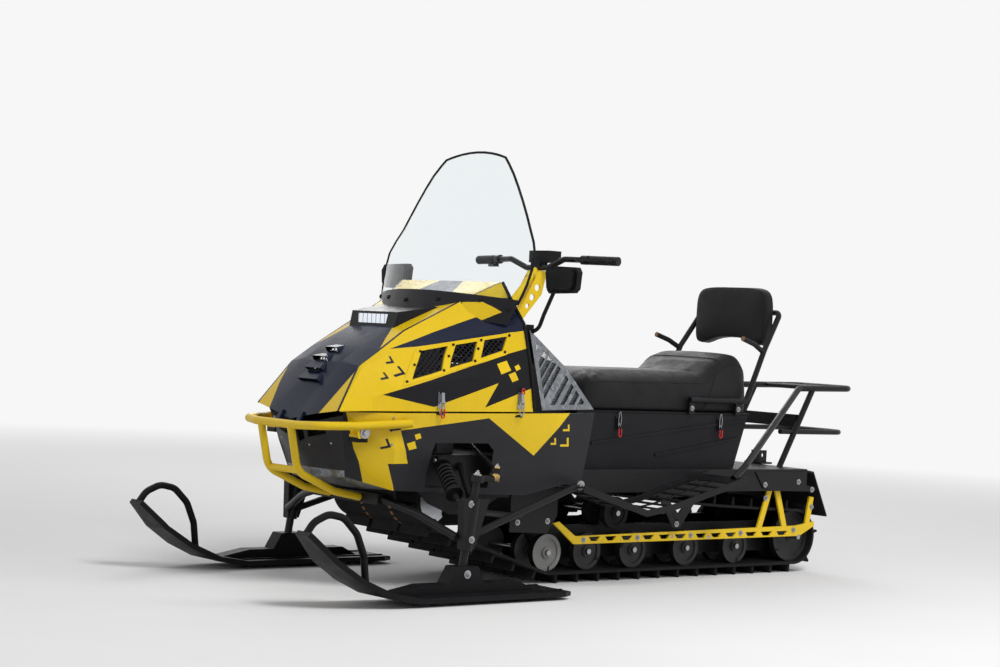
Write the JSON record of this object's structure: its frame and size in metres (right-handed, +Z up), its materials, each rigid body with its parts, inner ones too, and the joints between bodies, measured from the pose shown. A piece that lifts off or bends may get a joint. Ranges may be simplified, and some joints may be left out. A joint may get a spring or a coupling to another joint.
{
  "type": "snowmobile",
  "caption": "Utility snowmobile with a tilting faceted hood, tall windshield, steered skis, cleated rubber track, running boards, storage box under a hinged seat with backrest, and rear rack.",
  "frame": {"origin": "middle of the overall length and width, on the ground under the skis and the track", "axes": "+X forward along the length, +Y to the machine's left, +Z up"},
  "size_m": [2.9985, 1.216, 1.536],
  "materials": {
    "yellow_paint": "gloss",
    "hood_plastic": "gloss",
    "dark_panel": "satin",
    "black_plastic": "matte",
    "black_metal": "satin",
    "steel": "satin",
    "zinc": "satin",
    "rubber": "matte",
    "seat_vinyl": "matte",
    "clear": "clear",
    "lamp_lens": "clear",
    "red_lens": "gloss",
    "iron": "rough"
  },
  "bodies": {
    "chassis": {"axles": "steel", "belly_plate": "zinc", "console": "black_plastic", "control_arms": "black_metal", "dash_panel": "black_plastic", "deflectors": "zinc", "engine_block": "iron", "front_bumper": "yellow_paint", "front_frame": "black_metal", "lower_body": "dark_panel", "mirrors": "black_plastic", "nose_panel": "dark_panel", "rear_rack": "black_metal", "running_boards": "black_metal", "seat_box": "black_plastic", "shocks": "black_metal", "side_rails": "yellow_paint", "slide_frame": "black_metal", "snow_flap": "rubber", "spindle_housings": "black_metal", "tail_lamp": "red_lens", "tow_hitch": "black_metal", "track": "rubber", "tunnel": "black_metal", "tunnel_plates": "black_metal", "wheels": "black_plastic"},
    "hood": {"hood_centre": "dark_panel", "hood_sides": "hood_plastic", "hood_trim": "black_plastic", "headlamp": "lamp_lens", "windshield": "clear", "hood_latches": "steel"},
    "seat": {"seat_lid": "black_plastic", "seat_cushion": "seat_vinyl", "backrest_frame": "black_metal", "backrest_pad": "seat_vinyl"},
    "steering": {"steering_column": "yellow_paint", "handlebar": "black_metal", "instrument": "black_plastic"},
    "pitman": {"pitman_arm": "steel"},
    "ski_and_spindle_left": {"spindle_left": "steel", "ski_left": "black_plastic"},
    "ski_and_spindle_right": {"spindle_right": "steel", "ski_right": "black_plastic"},
    "tie_rod_left_body": {"tie_rod_left": "steel"},
    "tie_rod_right_body": {"tie_rod_right": "steel"}
  },
  "joints": [
    {"name": "hood_tilt", "type": "hinge", "parent": "chassis", "child": "hood", "pos_m": [1.222, 0, 0.551], "axis": [0, 1, 0], "range_deg": [0, 60]},
    {"name": "seat_lid_tilt", "type": "hinge", "parent": "chassis", "child": "seat", "pos_m": [-0.34, -0.232, 0.616], "axis": [1, 0, 0], "range_deg": [0, 60]},
    {"name": "steering", "type": "hinge", "parent": "chassis", "child": "steering", "pos_m": [0.588, 0, 0.65], "axis": [-0.6744, 0, 0.7384], "range_deg": [-30, 30]},
    {"name": "pitman_turn", "type": "hinge", "parent": "chassis", "child": "pitman", "pos_m": [0.6, 0, 0.56], "axis": [-0.1392, 0, 0.9903], "range_deg": [-24.5, 24.5]},
    {"name": "spindle_left_turn", "type": "hinge", "parent": "chassis", "child": "ski_and_spindle_left", "pos_m": [0.80714, 0.51, 0.405], "axis": [-0.1392, 0, 0.9903], "range_deg": [-24.5, 24.5]},
    {"name": "spindle_right_turn", "type": "hinge", "parent": "chassis", "child": "ski_and_spindle_right", "pos_m": [0.80714, -0.51, 0.405], "axis": [-0.1392, 0, 0.9903], "range_deg": [-24.5, 24.5]},
    {"name": "tie_rod_left_turn", "type": "hinge", "parent": "ski_and_spindle_left", "child": "tie_rod_left_body", "pos_m": [0.72714, 0.51, 0.405], "axis": [-0.1392, 0, 0.9903], "range_deg": [-24.5, 24.5]},
    {"name": "tie_rod_right_turn", "type": "hinge", "parent": "ski_and_spindle_right", "child": "tie_rod_right_body", "pos_m": [0.72714, -0.51, 0.405], "axis": [-0.1392, 0, 0.9903], "range_deg": [-24.5, 24.5]}
  ],
  "couplings": [
    {"joint": "pitman_turn", "follows": "steering", "ratio": 0.8},
    {"joint": "spindle_left_turn", "follows": "steering", "ratio": 0.8},
    {"joint": "spindle_right_turn", "follows": "steering", "ratio": 0.8},
    {"joint": "tie_rod_left_turn", "follows": "steering", "ratio": -0.8},
    {"joint": "tie_rod_right_turn", "follows": "steering", "ratio": -0.8}
  ]
}
